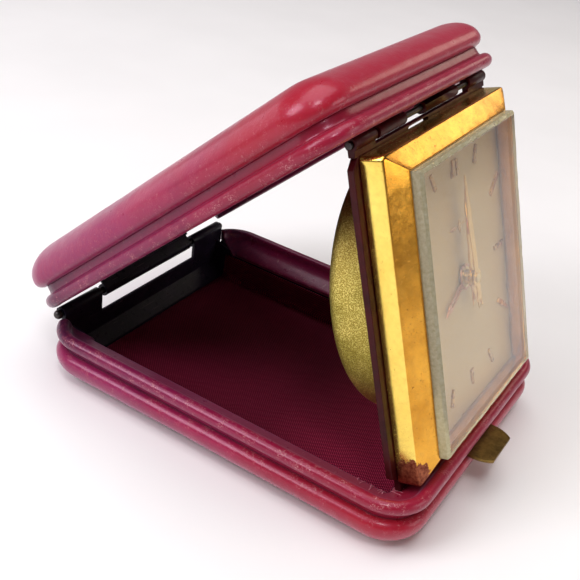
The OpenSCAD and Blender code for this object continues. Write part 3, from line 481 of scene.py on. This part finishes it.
def ground_glass(name):
    """The crystal's ground and chipped sides."""
    m = Mat(name)
    chip = m.cells(0.55)
    grit = m.noise(1.3, detail=4, rough=0.65)
    tone = m.ramp(grit, [(0.3, (0.66, 0.58, 0.32)), (0.55, (0.84, 0.76, 0.48)), (0.8, (0.96, 0.92, 0.70))])
    n = m.bump(m.math("MULTIPLY_ADD", grit, 0.1, chip), 0.10, 0.35)
    m.set(color=tone, roughness=m.ramp(grit, [(0.3, 0.08), (0.75, 0.25)]), transmission_weight=0.62,
          ior=1.5, normal=n)
    return m.m


# ---------------------------------------------------------------- mesh helper

def new_mesh(name, points, faces, body, mats, stand_for=(), attrs=None, face_mat=None,
             smooth=True):
    """A piece from points in millimetres, on its body and in its slot."""
    mesh = bpy.data.meshes.new(name)
    mesh.from_pydata([tuple(c * MM for c in p) for p in points], [], faces)
    for key, values in (attrs or {}).items():
        if isinstance(values[0], (tuple, list)):
            a = mesh.attributes.new(key, "FLOAT_VECTOR", "POINT")
            a.data.foreach_set("vector", [c for v in values for c in v])
        else:
            a = mesh.attributes.new(key, "FLOAT", "POINT")
            a.data.foreach_set("value", values)
    if face_mat:
        mesh.polygons.foreach_set("material_index", face_mat)
    bm = bmesh.new()
    bm.from_mesh(mesh)
    bmesh.ops.recalc_face_normals(bm, faces=bm.faces)
    bm.to_mesh(mesh)
    bm.free()
    mesh.polygons.foreach_set("use_smooth", [smooth] * len(mesh.polygons))
    obj = bpy.data.objects.new(name, mesh)
    bpy.context.scene.collection.objects.link(obj)
    for mat in mats:
        mesh.materials.append(mat)
    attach(obj, body)
    if stand_for:
        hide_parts(*stand_for)
    return obj


def ring_faces(a, b, n):
    """Quads between two closed rings of n points, which start at points a and b."""
    return [(a + i, a + (i + 1) % n, b + (i + 1) % n, b + i) for i in range(n)]


def sweep_faces(stops, n):
    """Faces of a closed section of n points carried through some stops, with both ends capped."""
    faces = []
    for r in range(stops - 1):
        faces += ring_faces(r * n, (r + 1) * n, n)
    return faces + [tuple(range(n)), tuple((stops - 1) * n + i for i in range(n))]


def frontness(y):
    """0 at the case's rear edge, 1 at its front edge."""
    return (HY - y) / (2 * HY)


def on_rear_wall(x, y):
    return y > HY - WALL_STRIP and abs(x) < WALL_HALF


def stations(hx, hy, r, step, corner_n):
    """Points around a rounded rectangle, each with its inward direction: left, front, right, rear."""
    out = []
    sides = [((-hx, hy - r), (-hx, -hy + r), (1, 0)), ((-hx + r, -hy), (hx - r, -hy), (0, 1)),
             ((hx, -hy + r), (hx, hy - r), (-1, 0)), ((hx - r, hy), (-hx + r, hy), (0, -1))]
    centres = [(-hx + r, -hy + r), (hx - r, -hy + r), (hx - r, hy - r), (-hx + r, hy - r)]
    for k, (a, b, inward) in enumerate(sides):
        n = max(2, round(math.dist(a, b) / step))
        for i in range(n):
            t = i / n
            out.append((a[0] + (b[0] - a[0]) * t, a[1] + (b[1] - a[1]) * t, inward[0], inward[1]))
        cx, cy = centres[k]
        start = math.pi + k * math.pi / 2
        for i in range(corner_n):
            ang = start + (math.pi / 2) * i / corner_n
            out.append((cx + r * math.cos(ang), cy + r * math.sin(ang), -math.cos(ang), -math.sin(ang)))
    return out


def ruffle(p, scale, amount):
    return amount * noise.noise(Vector(p) * scale)


def subdivide(obj):
    mod = obj.modifiers.new("smooth", "SUBSURF")
    mod.levels = mod.render_levels = 1


# ---------------------------------------------------------------- leather-covered halves

def leather_shell(name, place, body, mat, stand_for):
    """One half's padded cover: a crowned outer panel, rounded sides and a lip below the groove."""
    ring = stations(HX, HY, CORNER, step=0.8, corner_n=26)
    count = len(ring)
    reach, lift, shoulder, lip_r = 8.6, 0.30, 6, 1.8
    crown_n, lip_n = 18, 10
    section = []                    # inset, height, wear
    for i in range(crown_n + 1):
        a = math.pi / 2 * i / crown_n
        rise = (shoulder - lift) * (1 - math.cos(a))
        section.append((reach * (1 - math.sin(a)), lift + rise, 0.15 + 0.25 * i / crown_n))
    for i in range(1, lip_n + 1):
        a = math.pi / 2 * i / lip_n
        section.append((lip_r * (1 - math.cos(a)), shoulder + lip_r * math.sin(a), 0.4 + 0.6 * math.sin(a)))
    section += [(2.15, 7.72, 0.6), (2.3, 7.3, 0.0), (2.3, 5.0, 0.0), (3.0, 2.0, 0.0),
                (5.0, SHEET_Z, 0.0), (reach, SHEET_Z, 0.0)]
    pts, edge, front, faces = [], [], [], []
    for w, z, e in section:
        for x, y, nx, ny in ring:
            px, py = x + nx * w, y + ny * w
            pz = z
            if e > 0.01:
                amount = 0.10 * min(1, w / 3 + 0.3)
                d = ruffle((px, py, z * 2), 0.09, amount) + ruffle((px, py, z * 2), 0.35, 0.035)
                inside = max(0.0, d)
                px, py = px + nx * inside, py + ny * inside
                pz += inside * 0.6 if z < 4 else -inside * 0.3
            if z > 4 and on_rear_wall(x, y):
                py = max(py, AXIS_Y - 1.15)
            pts.append(place(px, py, max(0.0, pz)))
            edge.append(e)
            front.append(frontness(py))
    rows = len(section)
    for r in range(rows - 1):
        faces += ring_faces(r * count, (r + 1) * count, count)
    for first_row, level in ((0, "outer"), (rows - 1, "inner")):
        prev = first_row * count
        for s in (0.86, 0.7, 0.52, 0.34, 0.16):
            start = len(pts)
            w = section[first_row][0]
            for x, y, nx, ny in ring:
                px, py = (x + nx * w) * s, (y + ny * w) * s
                if level == "outer":
                    z = lift * s * s + 0.06 * (1 + noise.noise(Vector((px, py, 3)) * 0.06))
                else:
                    z = SHEET_Z
                pts.append(place(px, py, z))
                edge.append(0.1 if level == "outer" else 0.0)
                front.append(frontness(py))
            faces += ring_faces(prev, start, count)
            prev = start
        faces.append(tuple(prev + i for i in range(count)))
    return new_mesh(name, pts, faces, body, [mat], stand_for, {"edge": edge, "front": front})


def leather_roll(name, place, body, mat, inner_w, stand_for):
    """The rim roll, its recessed neck, and the leather turned in over the sloping border."""
    ring = stations(HX, HY, CORNER, step=1.1, corner_n=20)
    cut = next(i for i, s in enumerate(ring) if on_rear_wall(s[0], s[1]))
    path = [s for s in ring[cut:] if not on_rear_wall(s[0], s[1])] + ring[:cut]
    border_w, border_z, border_low, skin_t = 2.96, 10.5, 8.5, 0.14
    slope = (border_z - border_low) / (inner_w - border_w)

    def top(w):
        return border_z - (w - border_w) * slope + skin_t

    sec = [(2.0, 7.45, 0), (2.0, 8.4, 0), (1.95, 9.2, 0)]
    for k in range(15):
        a = math.radians(-78 - k * (242 / 14))
        sec.append((BEAD_R + BEAD_R * math.cos(a), BEAD_Z + BEAD_R * math.sin(a), 1.0 if 3 < k < 12 else 0.3))
    sec += [(2.78, 11.55, 0.3), (3.05, 11.0, 0.1), (3.5, max(10.62, top(3.5)), 0.1), (4.2, top(4.2), 0.1)]
    w = 5.0
    while w < inner_w - 0.6:
        sec.append((w, top(w), 0.12))
        w += 0.8
    sec += [(inner_w - 0.35, top(inner_w - 0.35), 0.5), (inner_w - 0.03, top(inner_w) - 0.08, 1.0),
            (inner_w + 0.04, 8.3, 0.4), (inner_w + 0.03, 7.9, 0.0), (inner_w - 0.3, 7.85, 0),
            (inner_w - 0.9, 8.5, 0), (3.6, 9.9, 0), (2.9, 9.5, 0), (2.9, 7.45, 0)]
    pts, edge, front = [], [], []
    for x, y, nx, ny in path:
        for w, z, e in sec:
            front.append(frontness(y))
            px, py, pz = x + nx * w, y + ny * w, z
            if w < 8 and z > 9.3:
                d = ruffle((px, py, z), 0.16, 0.07) + ruffle((px, py, z), 0.7, 0.03)
                px, py, pz = px + nx * abs(d), py + ny * abs(d), pz - abs(d) * 0.5
            pts.append(place(px, py, pz))
            edge.append(float(e))
    faces = sweep_faces(len(path), len(sec))
    return new_mesh(name, pts, faces, body, [mat], stand_for,
                    {"edge": edge, "front": front})


def cloth_tray(name, place, body, mat, inner_w, stand_for):
    """The woven lining: walls turned over at the top, and a floor that isn't quite flat."""
    hx, front, rear = HX - inner_w - 0.06, -HY + inner_w + 0.06, AXIS_Y - 1.4 - 3.7
    sec = [(0, 1.1), (0, 7.55), (0.1, 7.70), (0.3, 7.74), (0.48, 7.6), (0.52, 6.6), (0.54, 3.2), (0.68, 2.3),
           (1.0, 1.85), (1.6, 1.68), (2.4, 1.62), (2.4, 1.1)]
    r, deepest = 0.8, 1.6
    side_n, corner_n, front_n = 60, 8, 40

    def corner(cx, start):
        for i in range(corner_n):
            a = start + math.pi / 2 * i / corner_n
            path.append((cx + r * math.cos(a), front + r + r * math.sin(a), -math.cos(a), -math.sin(a)))

    path = [(-hx, rear + (front + r - rear) * i / side_n, 1, 0) for i in range(side_n)]
    corner(-hx + r, math.pi)
    path += [(-hx + r + (2 * hx - 2 * r) * i / front_n, front, 0, 1) for i in range(front_n)]
    corner(hx - r, 1.5 * math.pi)
    path += [(hx, front + r + (rear - front - r) * i / side_n, -1, 0) for i in range(side_n + 1)]
    pts, lay = [], []
    run = 0.0
    last = path[0]
    for x, y, nx, ny in path:
        run += math.dist((x, y), last[:2])
        last = (x, y)
        for d, z in sec:
            inset = min(d, deepest)
            if 2.5 < z < 7.5 and d > 0.2:
                inset += 0.10 * noise.noise(Vector((run * 0.12, z * 0.2, 1.0)))
            pts.append(place(x + nx * inset, y + ny * inset, z))
            lay.append((run, z + d, 0.0))
    faces = sweep_faces(len(path), len(sec))
    nu, nv = 36, 48
    floor_z, under_z = 1.66, 1.08
    x0, x1, y0, y1 = -hx + 0.15, hx - 0.15, front + 0.15, rear
    grid = {}
    for i in range(nu + 1):
        for j in range(nv + 1):
            x = x0 + (x1 - x0) * i / nu
            y = y0 + (y1 - y0) * j / nv
            z = floor_z + 0.07 * noise.noise(Vector((x * 0.11, y * 0.11, 5.0)))
            z += 0.03 * noise.noise(Vector((x * 0.4, y * 0.4, 9.0)))
            for side, zz in ((1, z), (0, under_z)):
                grid[i, j, side] = len(pts)
                pts.append(place(x, y, zz))
                lay.append((x, y, 0.0))
    for i in range(nu):
        for j in range(nv):
            for side in (0, 1):
                faces.append((grid[i, j, side], grid[i + 1, j, side],
                              grid[i + 1, j + 1, side], grid[i, j + 1, side]))
    rim = [(i, 0) for i in range(nu)] + [(nu, j) for j in range(nv)]
    rim += [(i, nv) for i in range(nu, 0, -1)] + [(0, j) for j in range(nv, 0, -1)]
    for k, (i, j) in enumerate(rim):
        a, b = rim[(k + 1) % len(rim)]
        faces.append((grid[i, j, 1], grid[a, b, 1], grid[a, b, 0], grid[i, j, 0]))
    return new_mesh(name, pts, faces, body, [mat], stand_for, {"lay": lay})


def loose_threads(mat):
    """A few frayed ends of the lining at the tray's near front corner."""
    rnd = random.Random(11)
    curve = bpy.data.curves.new("loose_threads", "CURVE")
    curve.dimensions = "3D"
    curve.bevel_depth = 0.045 * MM
    curve.bevel_resolution = 2
    curve.resolution_u = 4
    for k in range(22):
        spl = curve.splines.new("BEZIER")
        along = rnd.uniform(0, 7)
        if k % 2:
            start = Vector((-26.6 + along * 0.9, -36.9, 8.2))
            way = Vector((rnd.uniform(-0.6, 0.3), -1, 0))
        else:
            start = Vector((-26.9, -36.6 + along * 0.9, 8.2))
            way = Vector((-1, rnd.uniform(-0.7, 0.5), 0))
        length = rnd.uniform(0.9, 2.9)
        spl.bezier_points.add(2)
        for i, bp in enumerate(spl.bezier_points):
            t = i / 2
            p = start + way.normalized() * length * t
            w = max(0.0, (start - p).length)
            p.z = 8.35 + w * 0.40 + rnd.uniform(0.12, 0.34) + 0.25 * math.sin(t * math.pi)
            p.x += rnd.uniform(-0.25, 0.25) * t
            p.y += rnd.uniform(-0.25, 0.25) * t
            bp.co = p * MM
            bp.handle_left_type = bp.handle_right_type = "AUTO"
    obj = bpy.data.objects.new("loose_threads", curve)
    bpy.context.scene.collection.objects.link(obj)
    curve.materials.append(mat)
    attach(obj, "base")


# ---------------------------------------------------------------- clock front

def swept_frame(name, half_w, half_h, centre_y, section, corner_r, mats, stand_for, side_rows):
    """A closed section of (inset, height) carried round a rectangle on the clock, corners softened."""
    pts, faces, fm = [], [], []
    n_c, straight_n = 5, 24
    corners = [(-1, -1, math.pi), (1, -1, 1.5 * math.pi), (1, 1, 0), (-1, 1, math.pi / 2)]
    for inset, height in section:
        rr = max(0.06, corner_r - inset * 0.5)
        hw, hh = half_w - inset, half_h - end_inset(inset)
        loop = []
        for sx, sy, start in corners:
            cx, cy = sx * (hw - rr), sy * (hh - rr)
            for i in range(n_c + 1):
                a = start + math.pi / 2 * i / n_c
                loop.append((cx + rr * math.cos(a), cy + rr * math.sin(a)))
        dense = []
        for i, p in enumerate(loop):
            q = loop[(i + 1) % len(loop)]
            dense.append(p)
            if (i + 1) % (n_c + 1) == 0:
                for k in range(1, straight_n):
                    dense.append((p[0] + (q[0] - p[0]) * k / straight_n,
                                  p[1] + (q[1] - p[1]) * k / straight_n))
        pts += [clock_point(x, centre_y + y, height) for x, y in dense]
    rows = len(section)
    cols = len(pts) // rows
    for r in range(rows):
        faces += ring_faces(r * cols, (r + 1) % rows * cols, cols)
        fm += [0 if r < side_rows else 1] * cols
    return new_mesh(name, pts, faces, "clock", mats, stand_for, face_mat=fm)


def end_inset(inset):
    """The inset at the top and bottom, where the border is narrower, for one at the sides."""
    if inset <= SIDE_BORDER:
        return inset * END_BORDER / SIDE_BORDER
    return inset - SIDE_BORDER + END_BORDER


def make_bezel(mats):
    """Side wall, sloping border, inner walls and ledge in one section; the side has its own gilt."""
    lo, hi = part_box("bezel")
    half_w = (hi.x - lo.x) / 2 / MM
    half_h = BEZEL_HEIGHT / 2
    section = [(0.02, 0.0), (0.0, 0.12), (0.0, 3.95), (0.05, 4.2), (0.2, 4.36), (0.42, 4.46),
               (1.2, 4.83), (3.2, 5.72), (4.7, 6.38), (4.95, 6.46), (5.1, 6.42), (SIDE_BORDER, 6.25),
               (SIDE_BORDER, 5.9), (5.3, 5.88), (5.45, 5.88), (5.5, 5.7), (5.5, 4.4), (5.5, 2.78),
               (5.15, 2.78), (5.12, 5.2), (4.2, 5.2), (0.65, 3.9), (0.6, 0.0)]
    swept_frame("bezel_gilt", half_w, half_h, BEZEL_TOP - half_h, section, 0.9, mats, ("bezel",),
                side_rows=3)


def make_crystal(clear, ground):
    """A thick flat glass with ground sides, its front edge nibbled, most of all along the top."""
    w, h = CRYSTAL_SIZE[0] / 2, CRYSTAL_SIZE[1] / 2
    cy = BEZEL_TOP - BEZEL_HEIGHT / 2
    n, front_edge, chip_over = 40, 8.0, 0.70
    rows = [(0.0, 5.97), (0.0, 7.95), (0.12, 8.15), (0.36, 8.42), (0.55, 8.5)]
    pts, faces, fm = [], [], []
    rnd = random.Random(5)
    count = 4 * n
    chips = [rnd.random() for _ in range(count)]
    for inset, t in rows:
        hw, hh = w - inset, h - inset
        k = 0
        loop = [(-hw, -hh), (hw, -hh), (hw, hh), (-hw, hh)]
        for side, a in enumerate(loop):
            b = loop[(side + 1) % len(loop)]
            for i in range(n):
                f = i / n
                x, y = a[0] + (b[0] - a[0]) * f, a[1] + (b[1] - a[1]) * f
                bite = 0.0
                if t > front_edge and 0 < i < n - 1:
                    on_top = b[1] == a[1] and a[1] > 0
                    bite = max(0.0, chips[k] - chip_over) * (0.9 if on_top else 0.35)
                x, y = x * (1 - bite / w), y * (1 - bite / h)
                pts.append(clock_point(x, cy + y, t - bite * 0.35))
                k += 1
    for r in range(len(rows) - 1):
        faces += ring_faces(r * count, (r + 1) * count, count)
        fm += [1] * count
    for r in (0, len(rows) - 1):
        faces.append(tuple(r * count + i for i in range(count)))
        fm.append(0)
    new_mesh("crystal_block", pts, faces, "clock", [clear, ground], ("crystal",), face_mat=fm,
             smooth=False)


def dial_ornament(mat):
    """A plain lozenge with two leaves, where such dials carry a mark."""
    pts, faces = [], []

    def bar(outline, t0, t1):
        start = len(pts)
        for t in (t0, t1):
            for x, y in outline:
                pts.append(clock_point(x, y, t))
        n = len(outline)
        faces.append(tuple(start + i for i in range(n)))
        faces.append(tuple(start + n + i for i in range(n)))
        faces.extend(ring_faces(start, start + n, n))

    cy = 10.2
    bar([(0, cy + 1.5), (0.9, cy), (0, cy - 1.5), (-0.9, cy)], 2.58, 2.72)
    for s in (-1, 1):
        leaf = []
        for k in range(9):
            a = k / 8
            leaf.append((s * (1.3 + 3.0 * a), cy + 0.55 * math.sin(math.pi * a) + 0.25 * a))
        for k in range(7, 0, -1):
            a = k / 8
            leaf.append((s * (1.3 + 3.0 * a), cy - 0.30 * math.sin(math.pi * a) + 0.25 * a))
        bar(leaf, 2.58, 2.70)
    new_mesh("dial_ornament", pts, faces, "clock", [mat], smooth=False)


# ---------------------------------------------------------------- CAD nodes that stay

def finish_node(node, mat, bevel):
    """Material for a CAD part and, where its edges show, a small soft bevel in millimetres."""
    obj = NODES[node]
    obj.data.materials.clear()
    obj.data.materials.append(mat)
    if bevel:
        weld = obj.modifiers.new("weld", "WELD")
        weld.merge_threshold = 2e-6
        mod = obj.modifiers.new("soft_edges", "BEVEL")
        mod.width = bevel * MM
        mod.segments = 2
        mod.limit_method = "ANGLE"
        mod.angle_limit = math.radians(32)
        mod.harden_normals = True


def dress_nodes():
    navy = dark_paint("hinge_lacquer", (0.006, 0.005, 0.010), (0.020, 0.012, 0.030), 0.24, 0.9)
    maroon = dark_paint("plate_lacquer", (0.024, 0.0012, 0.002), (0.062, 0.003, 0.005), 0.30, 0.30)
    wire = brushed_metal("blackened_wire", (0.03, 0.028, 0.03), (0.10, 0.09, 0.09), 0.35, 0.4)
    steel = brushed_metal("bright_steel_finish", (0.42, 0.43, 0.45), (0.66, 0.67, 0.70), 0.22, 0.12)
    marker = gold("marker_gilt", (0.62, 0.36, 0.10), (0.44, 0.23, 0.06), 0.20, 0.5)
    hand = gold("hand_gilt", (0.86, 0.54, 0.14), (0.66, 0.36, 0.08), 0.14, 0.4)
    brass = brushed_metal("brass_finish", (0.55, 0.38, 0.13), (0.78, 0.58, 0.24), 0.26, 0.25)
    bronze = brushed_metal("clasp_bronze", (0.13, 0.08, 0.022), (0.30, 0.19, 0.055), 0.33, 0.65,
                           (0.07, 0.045, 0.015))
    copper = brushed_metal("copper_finish", (0.42, 0.18, 0.09), (0.66, 0.33, 0.18), 0.25, 0.2)
    drum = grainy_gold("drum_sanded_gilt")
    face = dial_face("dial_champagne")
    plan = {
        "base_frame": (navy, 0.12), "lid_frame": (navy, 0.12), "rear_hinge_tab": (navy, 0.08),
        "front_hinge_tabs": (maroon, 0.08), "mounting_plate": (maroon, 0.14),
        "rear_hinge_wire": (wire, 0), "front_hinge_wire": (wire, 0), "clasp_pin": (steel, 0),
        "clasp_spring": (steel, 0), "clasp_lever": (bronze, 0.16), "dial": (face, 0),
        "hour_markers": (marker, 0.10), "minute_hand": (hand, 0.05), "hour_hand": (hand, 0.05),
        "alarm_hand": (copper, 0.04), "drum_case": (drum, 0.10), "drum_screws": (brass, 0.06),
        "time_key": (brass, 0.10), "alarm_key": (brass, 0.10), "hand_set_knob": (brass, 0.05),
        "alarm_set_knob": (brass, 0.05),
    }
    steel_nodes = {"movement_screws", "hairspring", "pallet_lever", "alarm_hammer", "regulator_lever",
                   "alarm_click_spring"}
    replaced = {"base_shell", "base_bead", "base_lining", "lid_shell", "lid_bead", "lid_lining",
                "bezel", "crystal"}
    for node in sorted(NODES):
        if node in replaced:
            continue
        mat, bevel = plan.get(node, (steel if node in steel_nodes else brass, 0))
        finish_node(node, mat, bevel)
    return marker


# ---------------------------------------------------------------- build

make_camera()
make_stage()
marker_gilt = dress_nodes()
# both leathers carry painted sheen and light, purple at the rear and red at the front; the rim also carries
# painted shade at its rear end
skin = leather("leather_case", deep=(0.20, 0.005, 0.030), fresh=(0.34, 0.010, 0.045),
               rear_sheen_purple=(0.22, 0.012, 0.085), front_light_red=(0.34, 0.010, 0.016), wear_amount=0.8)
skin_roll = leather("leather_rim", deep=(0.17, 0.003, 0.028), fresh=(0.28, 0.006, 0.045),
                    rear_sheen_purple=(0.15, 0.006, 0.055), front_light_red=(0.26, 0.006, 0.018), wear_amount=1.0,
                    rear_painted_shade=0.9)
cloth = satin("satin_weave")
for part, place, inner_w in (("base", base_point, 8.1), ("lid", lid_point, 6.4)):
    leather_shell(part + "_leather", place, part, skin, (part + "_shell",))
    roll = leather_roll(part + "_rim_leather", place, part, skin_roll, inner_w, (part + "_bead",))
    subdivide(roll)
    cloth_tray(part + "_satin", place, part, cloth, inner_w, (part + "_lining",))
thread = Mat("thread_pink")
thread_tone = thread.ramp(thread.noise(2.0), [(0.3, (0.45, 0.10, 0.16)), (0.7, (0.75, 0.30, 0.36))])
thread.set(color=thread_tone, roughness=0.6)
loose_threads(thread.m)
worn_corner = tuple(clock_point(-26.2, -29.5, 3.2))
side_gold = gold("bezel_side_gilt", (1.0, 0.76, 0.17), (0.95, 0.66, 0.13), 0.15, 0.8,
                 patch=(worn_corner, 2.6, 3.2), wavy=0.14)
face_gold = gold("bezel_face_gilt", (0.88, 0.44, 0.06), (0.62, 0.27, 0.03), 0.11, 1.5,
                 patch=(worn_corner, 2.2, 2.6), wavy=0.20)
make_bezel([side_gold, face_gold])
make_crystal(clear_glass("crystal_clear"), ground_glass("crystal_ground_edge"))
dial_ornament(marker_gilt)
